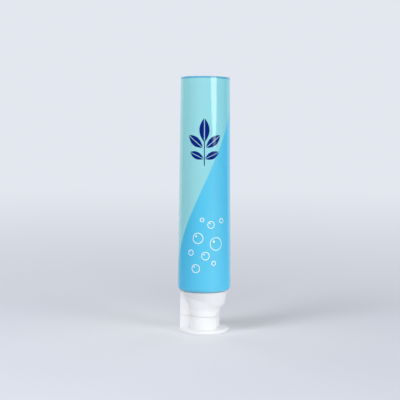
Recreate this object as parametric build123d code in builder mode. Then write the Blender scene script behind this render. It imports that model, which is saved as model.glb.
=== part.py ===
"""Soft squeeze tube for toothpaste, standing on its flip-top cap, with an open filling end.

Millimetres, +Z up. The origin is the centre of the foot's underside. The cap's hinge is on -X
and its thumb recess on +X. The tube is symmetric about the XZ plane.
"""

import os
from math import hypot

from build123d import *

# Sleeve: a thin plastic tube, round where it meets the head and slightly oval at its open end
sleeve_diameter = 28.0
sleeve_wall = 0.5
sleeve_length = 112.1
sleeve_corner_radius = 2.2
mouth_width = 25.6

# Head: the moulded shoulder and neck that close the lower end of the sleeve
head_wall = 1.2
head_rim_height = 2.5
head_weld_gap = 0.05
shoulder_drop = 1.3
neck_diameter = 12.0
neck_bore = 8.0

# Cap outline, from the foot disc up: seam, waist, slanted flare and skirt
foot_diameter = 26.4
foot_thickness = 1.6
foot_edge_radius = 0.6
seam_height = 8.4
waist_diameter = 16.8
waist_rise = 3.5
waist_fillet = 6.0
flare_front_reach = 10.9
flare_front_rise = 2.6
flare_back_reach = 11.3
flare_slant = 5.1
flare_side_step = 1.3
skirt_rise = 2.15
skirt_diameter = 24.6
skirt_wall = 1.2
waist_wall = 2.0
thumb_wall = 1.2
thumb_flat_rise = 2.2
thumb_runout_step = 1.0

# Cap inside: screw sleeve, deck, spout and sealing plug
seam_gap = 0.12
deck_recess = 2.4
deck_thickness = 1.5
screw_wall = 1.2
screw_setback = 0.35
spout_bore = 5.2
spout_wall = 1.0
spout_setback = 0.4
plug_reach = 1.5
plug_wall = 0.9
plug_core_depth = 4.0
lid_floor = 1.8

# Hinge side: a flat-backed pillar in two halves, joined by a thin web
pillar_width = 10.0
pillar_offset = 12.1
pillar_wall = 1.4
pillar_edge_radius = 0.5
web_thickness = 0.4
web_height = 1.2
web_width = 9.0
web_relief = 0.5
web_side_gap = 0.1

# Running clearances
shoulder_gap = 0.15
neck_seat_gap = 0.2
thread_room = 0.75
plug_clearance = 0.3

# Worked out from the sizes above
waist_top = seam_height + waist_rise
flare_front_height = waist_top + flare_front_rise
flare_back_height = flare_front_height + flare_slant
cap_height = flare_back_height + skirt_rise
sleeve_radius = sleeve_diameter / 2
sleeve_low = cap_height + shoulder_gap
sleeve_top = sleeve_low + sleeve_length
corner_top = sleeve_low + sleeve_corner_radius
lip_radius = sleeve_radius - sleeve_corner_radius
# The open end keeps the girth of the round end, so it is as much deeper as it is narrower
mouth_depth = 2 * sleeve_diameter - mouth_width

waist_radius = waist_diameter / 2
flare_side_reach = waist_radius + flare_side_step
skirt_radius = skirt_diameter / 2
foot_radius = foot_diameter / 2
neck_radius = neck_diameter / 2
neck_bore_radius = neck_bore / 2
body_low = seam_height + seam_gap / 2
lid_top = seam_height - seam_gap / 2
deck_low = body_low + deck_recess
deck_top = deck_low + deck_thickness
neck_end = deck_top + neck_seat_gap
neck_root = sleeve_low - shoulder_drop
screw_bore_radius = neck_radius + thread_room
screw_radius = screw_bore_radius + screw_wall
screw_top = neck_root - screw_setback
deck_recess_radius = waist_radius - waist_wall
thumb_flat_offset = deck_recess_radius + thumb_wall
spout_bore_radius = spout_bore / 2
spout_radius = spout_bore_radius + spout_wall
spout_end = body_low + spout_setback
plug_radius = spout_bore_radius - plug_clearance
plug_top = spout_end + plug_reach
pillar_back = -pillar_offset
pillar_core_width = pillar_width - 2 * pillar_wall
pillar_core_length = pillar_offset - 2 * pillar_wall - deck_recess_radius
pillar_core_middle = pillar_back + pillar_wall + pillar_core_length / 2
pillar_length = pillar_offset - deck_recess_radius
pillar_middle = pillar_back + pillar_length / 2
hinge_slot_depth = web_thickness + web_relief
hinge_slot_width = web_width + 2 * web_side_gap
web_low = seam_height - web_height / 2

os.makedirs("parts", exist_ok=True)

# Sleeve: rolled-in lower corner, then a thin wall that goes from round to oval
with BuildPart() as tube_sleeve:
    with BuildSketch(Plane.XZ):
        with BuildLine():
            RadiusArc((sleeve_radius, corner_top), (lip_radius, sleeve_low), sleeve_corner_radius)
            Line((lip_radius, sleeve_low), (lip_radius, sleeve_low + sleeve_wall))
            RadiusArc(
                (lip_radius, sleeve_low + sleeve_wall),
                (sleeve_radius - sleeve_wall, corner_top),
                -(sleeve_corner_radius - sleeve_wall),
            )
            Line((sleeve_radius - sleeve_wall, corner_top), (sleeve_radius, corner_top))
        make_face()
    revolve(axis=Axis.Z)
    with BuildSketch(Plane.XY.offset(corner_top)):
        Circle(sleeve_radius)
    with BuildSketch(Plane.XY.offset(sleeve_top)):
        Ellipse(mouth_width / 2, mouth_depth / 2)
    loft(ruled=True)
    with BuildSketch(Plane.XY.offset(corner_top)):
        Circle(sleeve_radius - sleeve_wall)
    with BuildSketch(Plane.XY.offset(sleeve_top)):
        Ellipse(mouth_width / 2 - sleeve_wall, mouth_depth / 2 - sleeve_wall)
    loft(ruled=True, mode=Mode.SUBTRACT)

tube_sleeve.part.label = "tube_sleeve"
export_step(tube_sleeve.part, "parts/tube_sleeve.step")

# Head: a rim inside the sleeve, a shallow cone and the neck, turned as one section
head_radius = sleeve_radius - sleeve_wall - head_weld_gap
head_corner_radius = sleeve_corner_radius - sleeve_wall - head_weld_gap
head_step_radius = lip_radius - head_weld_gap
head_floor = sleeve_low + sleeve_wall + head_weld_gap

with BuildPart() as tube_head:
    with BuildSketch(Plane.XZ):
        with BuildLine():
            Polyline(
                (lip_radius, head_floor),
                (head_step_radius, head_floor),
                (head_step_radius, sleeve_low),
                (neck_radius, neck_root),
                (neck_radius, neck_end),
                (neck_bore_radius, neck_end),
                (neck_bore_radius, neck_root + head_wall),
                (head_radius - head_wall, head_floor + head_wall),
                (head_radius - head_wall, corner_top + head_rim_height),
                (head_radius, corner_top + head_rim_height),
                (head_radius, corner_top),
            )
            RadiusArc((head_radius, corner_top), (lip_radius, head_floor), head_corner_radius)
        make_face()
    revolve(axis=Axis.Z)

tube_head.part.label = "tube_head"
export_step(tube_head.part, "parts/tube_head.step")

# The skirt's lower edge is a slanted ellipse, low over the thumb recess and high at the hinge
flare_run = flare_front_reach + flare_back_reach
flare_plane = Plane(
    origin=(
        (flare_front_reach - flare_back_reach) / 2,
        0,
        (flare_front_height + flare_back_height) / 2,
    ),
    x_dir=(flare_run, 0, -flare_slant),
    z_dir=(flare_slant, 0, flare_run),
)
# The thumb flat goes up a little past the seam, and runs out under the flare
thumb_flat_top = body_low + thumb_flat_rise
thumb_runout = waist_radius + thumb_runout_step

# Upper part of the cap: skirt, flare and waist outside, screw sleeve, deck and spout inside
with BuildPart() as cap_body:
    with BuildSketch(Plane.XY.offset(waist_top)):
        Circle(waist_radius)
    with BuildSketch(flare_plane):
        Ellipse(hypot(flare_run, flare_slant) / 2, flare_side_reach)
    with BuildSketch(Plane.XY.offset(cap_height)):
        Circle(skirt_radius)
    loft(ruled=True)
    with BuildSketch(Plane.XY.offset(body_low)):
        Circle(waist_radius)
    extrude(amount=waist_top - body_low)

    # Upper half of the hinge pillar
    with BuildSketch(Plane.XY.offset(body_low)):
        with Locations((pillar_middle, 0)):
            Rectangle(pillar_length, pillar_width)
        fillet(vertices().group_by(Axis.X)[0], pillar_edge_radius)
    extrude(amount=cap_height - body_low)

    # Rounding where the waist runs into the flare, on both sides of the pillar
    waist_ring = edges().filter_by(Plane.XY).group_by(Axis.Z)[1]
    fillet(waist_ring, waist_fillet)

    # Thumb flat on the waist
    with BuildSketch(Plane.XZ):
        with BuildLine():
            Polyline(
                (thumb_flat_offset, body_low),
                (thumb_flat_offset, thumb_flat_top),
                (thumb_runout, waist_top),
                (waist_diameter, waist_top),
                (waist_diameter, body_low),
                close=True,
            )
        make_face()
    extrude(amount=waist_diameter, both=True, mode=Mode.SUBTRACT)

    # Inside: room for the shoulder, the screw sleeve around the neck and the deck that seats it
    with BuildSketch(Plane.XZ):
        with BuildLine():
            Polyline(
                (0, deck_top),
                (screw_bore_radius, deck_top),
                (screw_bore_radius, screw_top),
                (screw_radius, screw_top),
                (screw_radius, flare_front_height + skirt_wall),
                (skirt_radius - skirt_wall, cap_height),
                (0, cap_height),
                close=True,
            )
        make_face()
    revolve(axis=Axis.Z, mode=Mode.SUBTRACT)

    # Recess under the deck and the core of the pillar, both open at the seam
    with BuildSketch(Plane.XY.offset(body_low)):
        Circle(deck_recess_radius)
    extrude(amount=deck_recess, mode=Mode.SUBTRACT)
    with BuildSketch(Plane.XY.offset(body_low)):
        with Locations((pillar_core_middle, 0)):
            Rectangle(pillar_core_length, pillar_core_width)
    extrude(amount=flare_front_height - body_low, mode=Mode.SUBTRACT)

    # Spout, with its bore through the deck
    with BuildSketch(Plane.XY.offset(spout_end)):
        Circle(spout_radius)
    extrude(amount=deck_low - spout_end)
    with BuildSketch(Plane.XY.offset(spout_end)):
        Circle(spout_bore_radius)
    extrude(amount=deck_top - spout_end, mode=Mode.SUBTRACT)

    # Slot behind the hinge web
    with BuildSketch(Plane.XY.offset(body_low)):
        with Locations((pillar_back + hinge_slot_depth / 2, 0)):
            Rectangle(hinge_slot_depth, hinge_slot_width)
    extrude(amount=web_low + web_height - body_low, mode=Mode.SUBTRACT)

cap_body.part.label = "cap_body"
export_step(cap_body.part, "parts/cap_body.step")

# Lid: the foot disc, the lower waist and pillar, and the plug that closes the spout
with BuildPart() as cap_lid:
    with BuildSketch(Plane.XY):
        Circle(foot_radius)
    extrude(amount=foot_thickness)
    fillet(edges().filter_by(GeomType.CIRCLE), foot_edge_radius)
    with BuildSketch(Plane.XY.offset(foot_thickness)):
        Circle(waist_radius)
        with Locations((thumb_flat_offset + waist_radius, 0)):
            Rectangle(waist_diameter, waist_diameter, mode=Mode.SUBTRACT)
    extrude(amount=lid_top - foot_thickness)
    with BuildSketch(Plane.XY.offset(foot_thickness)):
        with Locations((pillar_middle, 0)):
            Rectangle(pillar_length, pillar_width)
        fillet(vertices().group_by(Axis.X)[0], pillar_edge_radius)
    extrude(amount=lid_top - foot_thickness)

    # Hollow inside, open at the seam
    with BuildSketch(Plane.XY.offset(lid_floor)):
        Circle(deck_recess_radius)
    extrude(amount=lid_top - lid_floor, mode=Mode.SUBTRACT)
    with BuildSketch(Plane.XY.offset(lid_floor)):
        with Locations((pillar_core_middle, 0)):
            Rectangle(pillar_core_length, pillar_core_width)
    extrude(amount=lid_top - lid_floor, mode=Mode.SUBTRACT)

    # Plug, cored from its tip
    with BuildSketch(Plane.XY.offset(lid_floor)):
        Circle(plug_radius)
    extrude(amount=plug_top - lid_floor)
    with BuildSketch(Plane.XY.offset(plug_top - plug_core_depth)):
        Circle(plug_radius - plug_wall)
    extrude(amount=plug_core_depth, mode=Mode.SUBTRACT)

    # Slot behind the hinge web
    with BuildSketch(Plane.XY.offset(web_low)):
        with Locations((pillar_back + hinge_slot_depth / 2, 0)):
            Rectangle(hinge_slot_depth, hinge_slot_width)
    extrude(amount=lid_top - web_low, mode=Mode.SUBTRACT)

cap_lid.part.label = "cap_lid"
export_step(cap_lid.part, "parts/cap_lid.step")

# Living hinge: the thin web that joins the two halves of the pillar at their flat back
with BuildPart() as hinge_web:
    with BuildSketch(Plane.XY.offset(web_low)):
        with Locations((pillar_back + web_thickness / 2, 0)):
            Rectangle(web_thickness, web_width)
    extrude(amount=web_height)

hinge_web.part.label = "hinge_web"
export_step(hinge_web.part, "parts/hinge_web.step")
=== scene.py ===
"""Looks for the toothpaste tube: printed soft sleeve, white flip-top cap, studio light and camera.

Metres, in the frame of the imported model. The tube stands on the lid of its cap, its hinge on -X and
its thumb recess on +X, and the front of the print faces the camera.
"""

from math import atan2, cos, pi, radians, sin

import bmesh
import bpy
from mathutils import Matrix, Vector


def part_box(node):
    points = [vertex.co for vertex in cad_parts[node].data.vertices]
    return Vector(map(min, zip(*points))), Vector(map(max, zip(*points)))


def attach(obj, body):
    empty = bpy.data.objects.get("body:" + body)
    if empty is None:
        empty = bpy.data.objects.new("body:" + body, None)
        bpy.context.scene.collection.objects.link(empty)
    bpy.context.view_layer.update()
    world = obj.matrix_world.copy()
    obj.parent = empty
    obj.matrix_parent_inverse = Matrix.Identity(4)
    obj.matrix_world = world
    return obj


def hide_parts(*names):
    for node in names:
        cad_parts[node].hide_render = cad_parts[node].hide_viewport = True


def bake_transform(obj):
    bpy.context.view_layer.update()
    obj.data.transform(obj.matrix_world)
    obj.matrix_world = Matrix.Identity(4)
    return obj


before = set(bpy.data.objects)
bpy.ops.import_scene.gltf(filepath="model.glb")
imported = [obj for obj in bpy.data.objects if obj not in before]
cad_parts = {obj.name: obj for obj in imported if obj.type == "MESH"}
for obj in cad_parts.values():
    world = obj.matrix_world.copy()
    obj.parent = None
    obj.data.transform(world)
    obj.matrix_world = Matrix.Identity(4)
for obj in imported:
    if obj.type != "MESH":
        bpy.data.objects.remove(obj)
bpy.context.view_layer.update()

MM = 0.001
TOLERANCE = 0.001 * MM
SHARP_ANGLE = radians(35)

# Sleeve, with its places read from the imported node
sleeve_lo, sleeve_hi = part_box("tube_sleeve")
SLEEVE_LOW = sleeve_lo.z
SLEEVE_TOP = sleeve_hi.z
SLEEVE_RADIUS = sleeve_hi.x
MOUTH_HALF_DEPTH = sleeve_hi.y
MOUTH_HALF_WIDTH = 2 * SLEEVE_RADIUS - MOUTH_HALF_DEPTH
SLEEVE_WALL = 0.5 * MM
SLEEVE_CORNER = 2.2 * MM
RIM_ROUNDING = 0.12 * MM
SLEEVE_STEPS = 192
SLEEVE_ROWS = 15
END_ROW = 0.25 * MM
CORNER_SEGMENTS = 8
INNER_CORNER_SEGMENTS = 6
RIM_SEGMENTS = 3
CORNER_SHARE = 0.999  # a corner's rounding stops just short of the lip

# Print on the sleeve, in millimetres on the unrolled wall
PRINT_FRONT = radians(15)
SPLIT_HEIGHT_MM = 78.6
SPLIT_RISE_MM = 29.4
# Ink colours by girth in millimetres, with painted light and shade in them: the blue is palest just
# right of the front, where the right lamps fall, and darker toward the shaded left, and the mint deepens
# toward the right edge
BLUE_INK_AND_PAINTED_SHADE = ((-14.0, "45BCE8"), (0.0, "58C5E9"), (4.5, "64CAEC"), (15.0, "52C8F2"))
MINT_INK_AND_PAINTED_SHADE = ((0.0, "95D7DE"), (10.5, "92DDE9"), (16.0, "80D7E7"))
NAVY_INK = "001B79"
WHITE_INK = "F4FAFC"
BARE_SLEEVE = "63B2D6"
RIM_BAND_MM = 1.0
SEAM_BAND_MM = 0.9
SPLIT_EDGE_MM = 0.06
PRINT_EDGE_MM = 0.05

# Leaf sprig and bubbles of the print: girth from the print's front and height from the foot
SPRIG_LEAVES_MM = (  # middle, turn in degrees, length and width
    (0.0, 106.4, 90, 12.6, 5.6),
    (5.0, 100.6, 38, 10.6, 4.6),
    (-5.0, 100.6, 142, 10.6, 4.6),
    (4.3, 93.4, 24, 8.8, 3.8),
    (-4.3, 93.4, 156, 8.8, 3.8),
)
SPRIG_STEM_MM = (0.0, 94.6, 0.5, 13.0)  # middle, width and height
EYE_MARK_MM = (-36.0, 127.0, 7.0, 4.0)
LEAF_EDGE = 0.03  # soft edges, as shares of half a width
BAR_EDGE = 0.04
LEAF_MIDRIB = (0.05, 0.1)  # from bare to full ink, as shares of half a leaf's width
BUBBLES_MM = (  # middle and radius
    (-3.4, 50.6, 2.7),
    (3.6, 57.6, 1.8),
    (6.4, 47.6, 3.3),
    (-7.4, 43.0, 1.4),
    (0.6, 41.4, 2.0),
    (9.8, 59.6, 1.2),
    (-1.2, 60.2, 1.0),
    (5.0, 37.6, 1.1),
    (-4.6, 34.8, 2.1),
)
BUBBLE_LINE_MM = 0.32
GLEAM_OFFSET = 0.38  # shares of the bubble's radius
GLEAM_EDGE = (0.22, 0.12)

# Neck thread under the cap, wound upwards from near the neck's end
NECK_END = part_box("tube_head")[0].z
NECK_RADIUS = 6.0 * MM
THREAD_RIDGE = 0.55 * MM
THREAD_ROOT = 0.1 * MM
THREAD_WIDTH = 1.1 * MM
THREAD_CREST_WIDTH = 0.44 * MM
THREAD_PITCH = 2.6 * MM
THREAD_TURNS = 1.75
THREAD_SETBACK = 1.2 * MM
THREAD_START = NECK_END + THREAD_SETBACK
THREAD_STEPS = 126
THREAD_LEAD_STEPS = 12

# Living hinge at the back of the cap
web_lo, web_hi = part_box("hinge_web")
WEB_ROWS = 11
WEB_THINNING = 0.18 * MM

# Camera, in the frame of a square picture 400 pixels wide
CAMERA_AZIMUTH = radians(15)
CAMERA_DISTANCE = 498 * MM
CAMERA_HEIGHT = 99 * MM
CAMERA_PITCH = radians(3.374)
CAMERA_SIDESTEP = 2.5 * MM
CAMERA_ROLL = radians(0.34)
PICTURE_PIXELS = 400
FOCAL_PIXELS = 941
SENSOR_MM = 36.0


def linear(srgb_hex):
    """An sRGB hex colour as linear RGBA."""
    channels = [int(srgb_hex[i:i + 2], 16) / 255 for i in (0, 2, 4)]
    return tuple(c / 12.92 if c <= 0.04045 else ((c + 0.055) / 1.055) ** 2.4 for c in channels) + (1.0,)


def add(tree, kind, inputs=None, **settings):
    """Adds a node with its settings, sets or links its inputs by name or number, returns its outputs."""
    node = tree.nodes.new(kind)
    for name, value in settings.items():
        setattr(node, name, value)
    for key, value in (inputs or {}).items():
        if isinstance(value, bpy.types.NodeSocket):
            tree.links.new(value, node.inputs[key])
        else:
            node.inputs[key].default_value = value
    return node.outputs


def new_material(name):
    """An empty material and its node tree."""
    material = bpy.data.materials.new(name)
    material.use_nodes = True
    material.node_tree.nodes.clear()
    return material, material.node_tree


def finish_piece(bm, name, materials):
    """Turns a bmesh into a smooth-shaded object at the origin."""
    mesh = bpy.data.meshes.new(name)
    bm.to_mesh(mesh)
    bm.free()
    for material in materials:
        mesh.materials.append(material)
    mesh.shade_smooth()
    mesh.set_sharp_from_angle(angle=SHARP_ANGLE)
    piece = bpy.data.objects.new(name, mesh)
    bpy.context.scene.collection.objects.link(piece)
    return piece


# Printed polyethylene sleeve: inks in mint and sky blue whose tones round the sleeve hold painted light
# and shade, under a clear gloss varnish, so the colour stays clean and the lamps show on the wall as
# clear streaks
def make_printed_sleeve():
    material, tree = new_material("printed_polyethylene_sleeve")
    uv = add(tree, "ShaderNodeUVMap", uv_map="Print")["UV"]
    place = add(tree, "ShaderNodeSeparateXYZ", {0: uv})
    girth, height = place["X"], place["Y"]

    # Mint above a rising helix, blue below it
    angle = add(tree, "ShaderNodeMath", {0: girth, 1: MM / SLEEVE_RADIUS}, operation="MULTIPLY")[0]
    split = add(tree, "ShaderNodeMath", {0: angle, 1: SPLIT_RISE_MM, 2: SPLIT_HEIGHT_MM},
                operation="MULTIPLY_ADD")[0]
    above = add(tree, "ShaderNodeMath", {0: height, 1: split}, operation="SUBTRACT")[0]
    mint_field = add(tree, "ShaderNodeMapRange", {0: above, 1: -SPLIT_EDGE_MM, 2: SPLIT_EDGE_MM})[0]

    # The inks' tones change round the sleeve as painted light and shade: stops are girths in millimetres
    # with their colours
    shaded_inks = []
    for stops in (BLUE_INK_AND_PAINTED_SHADE, MINT_INK_AND_PAINTED_SHADE):
        ink = linear(stops[0][1])
        for (start, _), (end, shade) in zip(stops, stops[1:]):
            share = add(tree, "ShaderNodeMapRange", {0: girth, 1: start, 2: end})[0]
            ink = add(tree, "ShaderNodeMix", {0: share, 6: ink, 7: linear(shade)}, data_type="RGBA")[2]
        shaded_inks.append(ink)
    field = add(tree, "ShaderNodeMix", {0: mint_field, 6: shaded_inks[0], 7: shaded_inks[1]}, data_type="RGBA")[2]

    # A sprig of pointed leaves with pale midribs, its stem and the eye mark at the back, in navy
    navy = []
    for middle, rise, turn, length, width in SPRIG_LEAVES_MM:
        leaf = add(tree, "ShaderNodeMapping", {
            "Vector": uv,
            "Location": (middle, rise, 0),
            "Rotation": (0, 0, radians(turn)),
            "Scale": (length / 2, width / 2, 1),
        }, vector_type="TEXTURE")[0]
        leaf = add(tree, "ShaderNodeSeparateXYZ", {0: leaf})
        across = add(tree, "ShaderNodeMath", {0: leaf["Y"]}, operation="ABSOLUTE")[0]
        inset = add(tree, "ShaderNodeMath", {0: leaf["X"], 1: leaf["X"], 2: across},
                    operation="MULTIPLY_ADD")[0]
        blade = add(tree, "ShaderNodeMapRange", {0: inset, 1: 1 + LEAF_EDGE, 2: 1 - LEAF_EDGE})[0]
        midrib = add(tree, "ShaderNodeMapRange", {0: across, 1: LEAF_MIDRIB[0], 2: LEAF_MIDRIB[1]})[0]
        navy.append(add(tree, "ShaderNodeMath", {0: blade, 1: midrib}, operation="MULTIPLY")[0])
    for middle, rise, width, tall in (SPRIG_STEM_MM, EYE_MARK_MM):
        bar = add(tree, "ShaderNodeMapping", {
            "Vector": uv,
            "Location": (middle, rise, 0),
            "Scale": (width / 2, tall / 2, 1),
        }, vector_type="TEXTURE")[0]
        bar = add(tree, "ShaderNodeVectorMath", {0: bar}, operation="ABSOLUTE")[0]
        bar = add(tree, "ShaderNodeSeparateXYZ", {0: bar})
        edge = add(tree, "ShaderNodeMath", {0: bar["X"], 1: bar["Y"]}, operation="MAXIMUM")[0]
        navy.append(add(tree, "ShaderNodeMapRange", {0: edge, 1: 1 + BAR_EDGE, 2: 1 - BAR_EDGE})[0])

    # Bubbles drawn as thin white rings, each with a gleam
    white = []
    for middle, rise, radius in BUBBLES_MM:
        centre = (middle, rise, 0)
        reach = add(tree, "ShaderNodeVectorMath", {0: uv, 1: centre}, operation="DISTANCE")["Value"]
        ring = add(tree, "ShaderNodeMath", {0: reach, 1: radius, 2: BUBBLE_LINE_MM / 2},
                   operation="COMPARE")[0]
        spot = (middle - GLEAM_OFFSET * radius, rise + GLEAM_OFFSET * radius, 0)
        reach = add(tree, "ShaderNodeVectorMath", {0: uv, 1: spot}, operation="DISTANCE")["Value"]
        gleam = add(tree, "ShaderNodeMapRange", {
            0: reach,
            1: GLEAM_EDGE[0] * radius,
            2: GLEAM_EDGE[1] * radius,
        })[0]
        white += [ring, gleam]

    colour = field
    for ink, marks in ((NAVY_INK, navy), (WHITE_INK, white)):
        cover = marks[0]
        for mark in marks[1:]:
            cover = add(tree, "ShaderNodeMath", {0: cover, 1: mark}, operation="MAXIMUM")[0]
        colour = add(tree, "ShaderNodeMix", {0: cover, 6: colour, 7: linear(ink)}, data_type="RGBA")[2]

    # The print stops short of the cut rim and of its own joint at the back, where the blue sleeve shows
    print_end = SLEEVE_TOP / MM - RIM_BAND_MM
    joint_start = pi * SLEEVE_RADIUS / MM - SEAM_BAND_MM / 2
    from_front = add(tree, "ShaderNodeMath", {0: girth}, operation="ABSOLUTE")[0]
    bare = []
    for way, end in ((height, print_end), (from_front, joint_start)):
        bare.append(add(tree, "ShaderNodeMapRange", {
            0: way,
            1: end - PRINT_EDGE_MM,
            2: end + PRINT_EDGE_MM,
        })[0])
    bare = add(tree, "ShaderNodeMath", {0: bare[0], 1: bare[1]}, operation="MAXIMUM")[0]
    colour = add(tree, "ShaderNodeMix", {0: bare, 6: colour, 7: linear(BARE_SLEEVE)},
                 data_type="RGBA")[2]

    # Varnish: gloss that varies in soft patches, and the faint wave of a squeezable wall
    place = add(tree, "ShaderNodeTexCoord")["Object"]
    patches = add(tree, "ShaderNodeTexNoise", {"Vector": place, "Scale": 1 / (6 * MM), "Detail": 3.0})[0]
    gloss = add(tree, "ShaderNodeMapRange", {0: patches, 1: 0.3, 2: 0.7, 3: 0.06, 4: 0.09})[0]
    wave = add(tree, "ShaderNodeTexNoise", {"Vector": place, "Scale": 1 / (14 * MM), "Detail": 1.0})[0]
    relief = add(tree, "ShaderNodeBump", {"Strength": 0.12, "Distance": 0.1 * MM, "Height": wave})[0]

    surface = add(tree, "ShaderNodeBsdfPrincipled", {
        "Base Color": colour,
        "Roughness": gloss,
        "IOR": 1.5,
        "Specular IOR Level": 0.62,
        "Normal": relief,
    })[0]
    add(tree, "ShaderNodeOutputMaterial", {0: surface})
    return material


# Extruded blue polyethylene: the unprinted inside and cut rim of the sleeve, waxy and half matt, with
# fine lines along the tube from the extruder's die
def make_bare_sleeve():
    material, tree = new_material("extruded_blue_polyethylene")
    place = add(tree, "ShaderNodeTexCoord")["Object"]
    stretched = add(tree, "ShaderNodeMapping", {"Vector": place, "Scale": (1, 1, 0.02)})[0]
    lines = add(tree, "ShaderNodeTexNoise", {
        "Vector": stretched,
        "Scale": 1 / (0.7 * MM),
        "Detail": 2.0,
    })[0]
    colour = add(tree, "ShaderNodeMix", {0: lines, 6: linear("5DABD0"), 7: linear("69B9DC")},
                 data_type="RGBA")[2]
    gloss = add(tree, "ShaderNodeMapRange", {0: lines, 1: 0.3, 2: 0.7, 3: 0.36, 4: 0.48})[0]
    relief = add(tree, "ShaderNodeBump", {"Strength": 0.25, "Distance": 0.03 * MM, "Height": lines})[0]
    surface = add(tree, "ShaderNodeBsdfPrincipled", {
        "Base Color": colour,
        "Roughness": gloss,
        "IOR": 1.51,
        "Normal": relief,
    })[0]
    add(tree, "ShaderNodeOutputMaterial", {0: surface})
    return material


# Moulded white polypropylene: bright opaque white with a satin gloss, faint flow clouds from the
# injected melt, and a fine spark-eroded grain, drawn coarser than the real 0.05 mm so that it shows
def make_white_cap():
    material, tree = new_material("moulded_white_polypropylene")
    place = add(tree, "ShaderNodeTexCoord")["Object"]
    clouds = add(tree, "ShaderNodeTexNoise", {"Vector": place, "Scale": 1 / (8 * MM), "Detail": 0.0})[0]
    colour = add(tree, "ShaderNodeMix", {0: clouds, 6: linear("ECEDEF"), 7: linear("EEEFF1")},
                 data_type="RGBA")[2]
    grain = add(tree, "ShaderNodeTexNoise", {
        "Vector": place,
        "Scale": 1 / (0.25 * MM),
        "Detail": 2.0,
    })[0]
    gloss = add(tree, "ShaderNodeMapRange", {0: clouds, 1: 0.0, 2: 1.0, 3: 0.27, 4: 0.33})[0]
    relief = add(tree, "ShaderNodeBump", {"Strength": 0.2, "Distance": 0.012 * MM, "Height": grain})[0]
    surface = add(tree, "ShaderNodeBsdfPrincipled", {
        "Base Color": colour,
        "Roughness": gloss,
        "IOR": 1.49,
        "Normal": relief,
    })[0]
    add(tree, "ShaderNodeOutputMaterial", {0: surface})
    return material


# Moulded white polyethylene of the head: softer and duller than the cap, slightly warm and milky, with
# the fine grain of its mould
def make_white_head():
    material, tree = new_material("moulded_white_polyethylene")
    place = add(tree, "ShaderNodeTexCoord")["Object"]
    clouds = add(tree, "ShaderNodeTexNoise", {"Vector": place, "Scale": 1 / (4 * MM), "Detail": 2.0})[0]
    colour = add(tree, "ShaderNodeMix", {0: clouds, 6: linear("E9E9E6"), 7: linear("EFEFED")},
                 data_type="RGBA")[2]
    grain = add(tree, "ShaderNodeTexNoise", {"Vector": place, "Scale": 1 / (0.3 * MM), "Detail": 2.0})[0]
    gloss = add(tree, "ShaderNodeMapRange", {0: clouds, 1: 0.3, 2: 0.7, 3: 0.45, 4: 0.55})[0]
    relief = add(tree, "ShaderNodeBump", {"Strength": 0.25, "Distance": 0.02 * MM, "Height": grain})[0]
    surface = add(tree, "ShaderNodeBsdfPrincipled", {
        "Base Color": colour,
        "Roughness": gloss,
        "IOR": 1.51,
        "Normal": relief,
    })[0]
    add(tree, "ShaderNodeOutputMaterial", {0: surface})
    return material


printed_sleeve = make_printed_sleeve()
bare_sleeve = make_bare_sleeve()
white_cap = make_white_cap()
white_head = make_white_head()


def ring_edges(bm, radius, height):
    """The edges of a ring of that radius at that height."""
    def on_ring(vert):
        return abs(vert.co.xy.length - radius) < TOLERANCE and abs(vert.co.z - height) < TOLERANCE
    return [edge for edge in bm.edges if all(on_ring(vert) for vert in edge.verts)]


def tall_edges(bm, rise):
    """The edges that rise by more than that."""
    return [edge for edge in bm.edges if abs(edge.verts[0].co.z - edge.verts[1].co.z) > rise]


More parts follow.
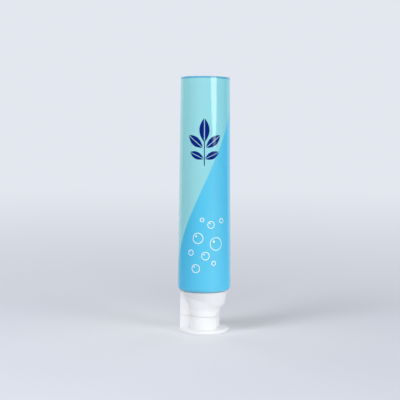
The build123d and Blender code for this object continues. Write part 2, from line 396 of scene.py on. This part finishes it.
def make_sleeve():
    """The soft sleeve: a thin wall spun round, rounded at corner and rim, then pressed to an oval."""
    bm = bmesh.new()
    inside = SLEEVE_RADIUS - SLEEVE_WALL
    lip = SLEEVE_RADIUS - SLEEVE_CORNER
    section = [
        (lip, SLEEVE_LOW),
        (SLEEVE_RADIUS, SLEEVE_LOW),
        (SLEEVE_RADIUS, SLEEVE_TOP),
        (inside, SLEEVE_TOP),
        (inside, SLEEVE_LOW + SLEEVE_WALL),
        (lip, SLEEVE_LOW + SLEEVE_WALL),
    ]
    verts = [bm.verts.new((radius, 0, height)) for radius, height in section]
    edges = [bm.edges.new((a, b)) for a, b in zip(verts, verts[1:] + verts[:1])]
    bmesh.ops.spin(bm, geom=verts + edges, cent=(0, 0, 0), axis=(0, 0, 1), angle=2 * pi,
                   steps=SLEEVE_STEPS, use_merge=True)
    bmesh.ops.remove_doubles(bm, verts=bm.verts, dist=TOLERANCE)
    bmesh.ops.recalc_face_normals(bm, faces=bm.faces)
    inner_corner = SLEEVE_CORNER - SLEEVE_WALL
    for radius, height, offset, segments in (
        (SLEEVE_RADIUS, SLEEVE_LOW, SLEEVE_CORNER * CORNER_SHARE, CORNER_SEGMENTS),
        (inside, SLEEVE_LOW + SLEEVE_WALL, inner_corner * CORNER_SHARE, INNER_CORNER_SEGMENTS),
        (SLEEVE_RADIUS, SLEEVE_TOP, RIM_ROUNDING, RIM_SEGMENTS),
        (inside, SLEEVE_TOP, RIM_ROUNDING, RIM_SEGMENTS),
    ):
        bmesh.ops.bevel(bm, geom=ring_edges(bm, radius, height), offset=offset, affect="EDGES",
                        segments=segments, profile=0.5, material=-1)
    walls = tall_edges(bm, (SLEEVE_TOP - SLEEVE_LOW) / 2)
    bmesh.ops.subdivide_edges(bm, edges=walls, cuts=SLEEVE_ROWS, use_grid_fill=True)

    # A row close to each rounding, so that its bend doesn't shade the long walls
    for height in (SLEEVE_LOW + SLEEVE_CORNER + END_ROW, SLEEVE_TOP - RIM_ROUNDING - END_ROW):
        bmesh.ops.bisect_plane(bm, geom=bm.verts[:] + bm.edges[:] + bm.faces[:], plane_co=(0, 0, height),
                               plane_no=(0, 0, 1))

    # Outer faces and the lip's underside carry the print, on a map in millimetres: girth from the
    # print's front, and height. A face's corners stay on its own side of the joint at the back
    uv_layer = bm.loops.layers.uv.new("Print")
    for face in bm.faces:
        middle = face.calc_center_median()
        faces_out = middle.xy.dot(face.normal.xy) > 0
        faces_down = face.normal.z < -0.5
        printed = (faces_out or faces_down) and middle.z < SLEEVE_TOP - RIM_ROUNDING
        face.material_index = 0 if printed else 1
        middle_turn = atan2(middle.x, -middle.y) - PRINT_FRONT
        for loop in face.loops:
            turn = atan2(loop.vert.co.x, -loop.vert.co.y) - PRINT_FRONT
            turn += 2 * pi * round((middle_turn - turn) / (2 * pi))
            if middle_turn < -pi:
                turn += 2 * pi
            loop[uv_layer].uv = (turn * SLEEVE_RADIUS / MM, loop.vert.co.z / MM)

    # From round at the head to oval at the open end
    oval_start = SLEEVE_LOW + SLEEVE_CORNER
    for vert in bm.verts:
        share = max(0.0, (vert.co.z - oval_start) / (SLEEVE_TOP - oval_start))
        radius = vert.co.xy.length
        vert.co.x += share * (MOUTH_HALF_WIDTH - SLEEVE_RADIUS) * vert.co.x / radius
        vert.co.y += share * (MOUTH_HALF_DEPTH - SLEEVE_RADIUS) * vert.co.y / radius
    return finish_piece(bm, "soft_sleeve", [printed_sleeve, bare_sleeve])


def make_neck_thread():
    """The neck's screw thread: one ridge wound round the neck, fading out at both ends."""
    bm = bmesh.new()
    root = NECK_RADIUS - THREAD_ROOT
    crest = NECK_RADIUS + THREAD_RIDGE
    section = [
        (root, -THREAD_WIDTH / 2),
        (crest, -THREAD_CREST_WIDTH / 2),
        (crest, THREAD_CREST_WIDTH / 2),
        (root, THREAD_WIDTH / 2),
    ]
    verts = [bm.verts.new((radius, 0, THREAD_START + height)) for radius, height in section]
    start = bm.faces.new(verts)
    thread_rise = THREAD_PITCH * THREAD_TURNS
    step_rise = thread_rise / THREAD_STEPS
    bmesh.ops.spin(bm, geom=[start], cent=(0, 0, 0), axis=(0, 0, 1), dvec=(0, 0, step_rise),
                   angle=2 * pi * THREAD_TURNS, steps=THREAD_STEPS)
    bmesh.ops.recalc_face_normals(bm, faces=bm.faces)

    # Both ends run out into the neck
    lead = step_rise * THREAD_LEAD_STEPS
    for vert in bm.verts:
        risen = vert.co.z - THREAD_START
        fade = max(0.0, min(1.0, risen / lead, (thread_rise - risen) / lead))
        radius = vert.co.xy.length
        sunk = root + (radius - root) * fade
        vert.co.x *= sunk / radius
        vert.co.y *= sunk / radius
    return finish_piece(bm, "neck_thread", [white_head])


def make_hinge_strip():
    """The living hinge: a thin web, thinned at its fold line."""
    bm = bmesh.new()
    middle = (web_lo + web_hi) / 2
    half_height = (web_hi.z - web_lo.z) / 2
    bmesh.ops.create_cube(bm, size=1)
    bmesh.ops.scale(bm, vec=web_hi - web_lo, verts=bm.verts)
    bmesh.ops.translate(bm, vec=middle, verts=bm.verts)
    bmesh.ops.subdivide_edges(bm, edges=tall_edges(bm, half_height), cuts=WEB_ROWS, use_grid_fill=True)
    for vert in bm.verts:
        if vert.co.x > middle.x:
            nearness = 1 - abs(vert.co.z - middle.z) / half_height
            vert.co.x -= WEB_THINNING * nearness
    return finish_piece(bm, "hinge_strip", [white_cap])


sleeve = make_sleeve()
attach(sleeve, "tube")
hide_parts("tube_sleeve")

thread = make_neck_thread()
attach(thread, "tube")

hinge = make_hinge_strip()
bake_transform(hinge)
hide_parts("hinge_web")

for node_name, material in (
    ("tube_head", white_head),
    ("cap_body", white_cap),
    ("cap_lid", white_cap),
):
    node_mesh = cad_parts[node_name].data
    node_mesh.materials.clear()
    node_mesh.materials.append(material)


# Studio: a pale floor that fades into the backdrop, a strip light and a softbox on the right, a small
# key on the left, a wide fill above the camera and two low fills behind the tube
BACKDROP = linear("E3E7EF")
BACKDROP_EDGE = 0.48  # cosines of the angle from straight behind the tube
BACKDROP_FULL = 0.7
AMBIENT = 0.244
AMBIENT_MIRRORED = 0.12
FLOOR_RADIUS = 6.0
# Reaches of the pool of light painted round the foot: full out to the first, faded into the darker floor
# by the second
PAINTED_POOL_FULL_REACH = 0.015
PAINTED_POOL_END_REACH = 0.13
SWEEP_LENGTH = 0.498
SWEEP_START = 0.525
SWEEP_BEND = 1.45
SWEEP_END = 0.13


def make_floor():
    """The floor: a wide painted disc, palest round the foot, where a pool of light is painted into its
    colour, and darker beyond.
    """
    bm = bmesh.new()
    bmesh.ops.create_circle(bm, cap_ends=True, segments=128, radius=FLOOR_RADIUS)
    material, tree = new_material("painted_pale_floor")
    place = add(tree, "ShaderNodeTexCoord")["Object"]
    reach = add(tree, "ShaderNodeVectorMath", {0: place}, operation="LENGTH")["Value"]
    # Painted light: the floor's colour is palest round the foot and darker further out, standing in for
    # the lamps' pool of light
    painted_pool = add(tree, "ShaderNodeMapRange", {0: reach, 1: PAINTED_POOL_FULL_REACH, 2: PAINTED_POOL_END_REACH},
               interpolation_type="SMOOTHSTEP")[0]
    colour = add(tree, "ShaderNodeMix", {0: painted_pool, 6: linear("EDEFF5"), 7: linear("E1E4F0")},
                 data_type="RGBA")[2]
    paint = add(tree, "ShaderNodeBsdfPrincipled", {"Base Color": colour, "Roughness": 0.6})[0]

    # The floor sweeps up into the backdrop, quickly at first and then ever more slowly. The camera
    # sees the backdrop's colour there, and light passes through
    distance = add(tree, "ShaderNodeMath", {0: reach, 1: SWEEP_LENGTH}, operation="ADD")[0]
    nearness = add(tree, "ShaderNodeMath", {0: SWEEP_START, 1: distance}, operation="DIVIDE")[0]
    left = add(tree, "ShaderNodeMath", {0: nearness, 1: SWEEP_BEND}, operation="POWER")[0]
    fade = add(tree, "ShaderNodeMapRange", {0: left, 1: 1.0, 2: SWEEP_END})[0]
    clear = add(tree, "ShaderNodeBsdfTransparent")[0]
    glow = add(tree, "ShaderNodeEmission", {0: BACKDROP, 1: 1.0})[0]
    seen = add(tree, "ShaderNodeLightPath")["Is Camera Ray"]
    sweep = add(tree, "ShaderNodeMixShader", {0: seen, 1: clear, 2: glow})[0]
    surface = add(tree, "ShaderNodeMixShader", {0: fade, 1: paint, 2: sweep})[0]
    add(tree, "ShaderNodeOutputMaterial", {0: surface})
    material.cycles.emission_sampling = "NONE"  # the sweep is seen, but lights nothing
    floor = finish_piece(bm, "floor", [material])


def make_world():
    """The backdrop and the even light of the room."""
    world = bpy.data.worlds.new("studio")
    world.use_nodes = True
    tree = world.node_tree
    tree.nodes.clear()
    ray = add(tree, "ShaderNodeLightPath")

    # The camera sees the backdrop, and so do reflections, but only where it hangs behind the tube.
    # Elsewhere they see a darker room, so that the gloss doesn't veil the print
    direction = add(tree, "ShaderNodeTexCoord")["Generated"]
    backward = (-sin(CAMERA_AZIMUTH), cos(CAMERA_AZIMUTH), 0)
    facing = add(tree, "ShaderNodeVectorMath", {0: direction, 1: backward},
                 operation="DOT_PRODUCT")["Value"]
    behind = add(tree, "ShaderNodeMapRange", {0: facing, 1: BACKDROP_EDGE, 2: BACKDROP_FULL},
                 interpolation_type="SMOOTHSTEP")[0]
    bounced = add(tree, "ShaderNodeMath", {0: ray["Is Glossy Ray"], 1: ray["Is Transmission Ray"]},
                  operation="MAXIMUM")[0]
    bounced = add(tree, "ShaderNodeMath", {0: bounced, 1: behind}, operation="MULTIPLY")[0]
    seen = add(tree, "ShaderNodeMath", {0: ray["Is Camera Ray"], 1: bounced}, operation="MAXIMUM")[0]
    level = add(tree, "ShaderNodeMapRange", {
        0: ray["Is Glossy Ray"],
        3: AMBIENT,
        4: AMBIENT_MIRRORED,
    })[0]
    ambient = add(tree, "ShaderNodeBackground", {0: linear("FFFFFF"), 1: level})[0]
    backdrop = add(tree, "ShaderNodeBackground", {0: BACKDROP, 1: 1.0})[0]
    mixed = add(tree, "ShaderNodeMixShader", {0: seen, 1: ambient, 2: backdrop})[0]
    add(tree, "ShaderNodeOutputWorld", {0: mixed})
    bpy.context.scene.world = world


def add_area_light(name, azimuth, elevation, distance, target_height, width, height, watts, mirrored):
    """An elliptical softbox that faces the tube, placed by its angle from the camera's direction.

    Only a mirrored one shows in the gloss.
    """
    turn = CAMERA_AZIMUTH + radians(azimuth)
    rise = radians(elevation)
    away = Vector((sin(turn) * cos(rise), -cos(turn) * cos(rise), sin(rise)))
    lamp = bpy.data.lights.new(name, "AREA")
    lamp.shape = "ELLIPSE"
    lamp.size = width
    lamp.size_y = height
    lamp.energy = watts
    light = bpy.data.objects.new(name, lamp)
    light.location = Vector((0, 0, target_height)) + away * distance
    light.rotation_euler = away.to_track_quat("Z", "Y").to_euler()
    light.visible_camera = False
    light.visible_glossy = mirrored
    bpy.context.scene.collection.objects.link(light)


def add_camera():
    """The camera, level with the tube's upper half and looking slightly down."""
    toward_camera = Vector((sin(CAMERA_AZIMUTH), -cos(CAMERA_AZIMUTH), 0))
    rightward = Vector((cos(CAMERA_AZIMUTH), sin(CAMERA_AZIMUTH), 0))
    lens = bpy.data.cameras.new("camera")
    lens.sensor_width = SENSOR_MM
    lens.lens = FOCAL_PIXELS / PICTURE_PIXELS * SENSOR_MM
    lens.clip_start = 0.01
    camera = bpy.data.objects.new("camera", lens)
    camera.location = (toward_camera * CAMERA_DISTANCE - rightward * CAMERA_SIDESTEP
                       + Vector((0, 0, CAMERA_HEIGHT)))
    camera.rotation_euler = (
        Matrix.Rotation(CAMERA_AZIMUTH, 4, "Z")
        @ Matrix.Rotation(pi / 2 - CAMERA_PITCH, 4, "X")
        @ Matrix.Rotation(CAMERA_ROLL, 4, "Z")
    ).to_euler()
    bpy.context.scene.collection.objects.link(camera)
    bpy.context.scene.camera = camera


make_floor()
make_world()
add_area_light("right_strip", azimuth=52, elevation=4.4, distance=1.46, target_height=0.115,
               width=0.76, height=0.274, watts=2.4, mirrored=True)
add_area_light("right_softbox", azimuth=52, elevation=10, distance=1.46, target_height=0.115,
               width=0.8, height=0.4, watts=7.6, mirrored=False)
add_area_light("left_key", azimuth=-47, elevation=40, distance=0.55, target_height=0.06,
               width=0.25, height=0.25, watts=1.39, mirrored=True)
add_area_light("front_fill", azimuth=0, elevation=30, distance=1.2, target_height=0.06,
               width=0.8, height=0.8, watts=3.75, mirrored=False)
add_area_light("back_left_fill", azimuth=-140, elevation=8, distance=2.2, target_height=0.08,
               width=1.2, height=0.6, watts=15.0, mirrored=False)
add_area_light("back_right_fill", azimuth=140, elevation=8, distance=2.2, target_height=0.08,
               width=1.2, height=0.6, watts=11.5, mirrored=False)
add_camera()
bpy.context.scene.view_settings.view_transform = "Standard"
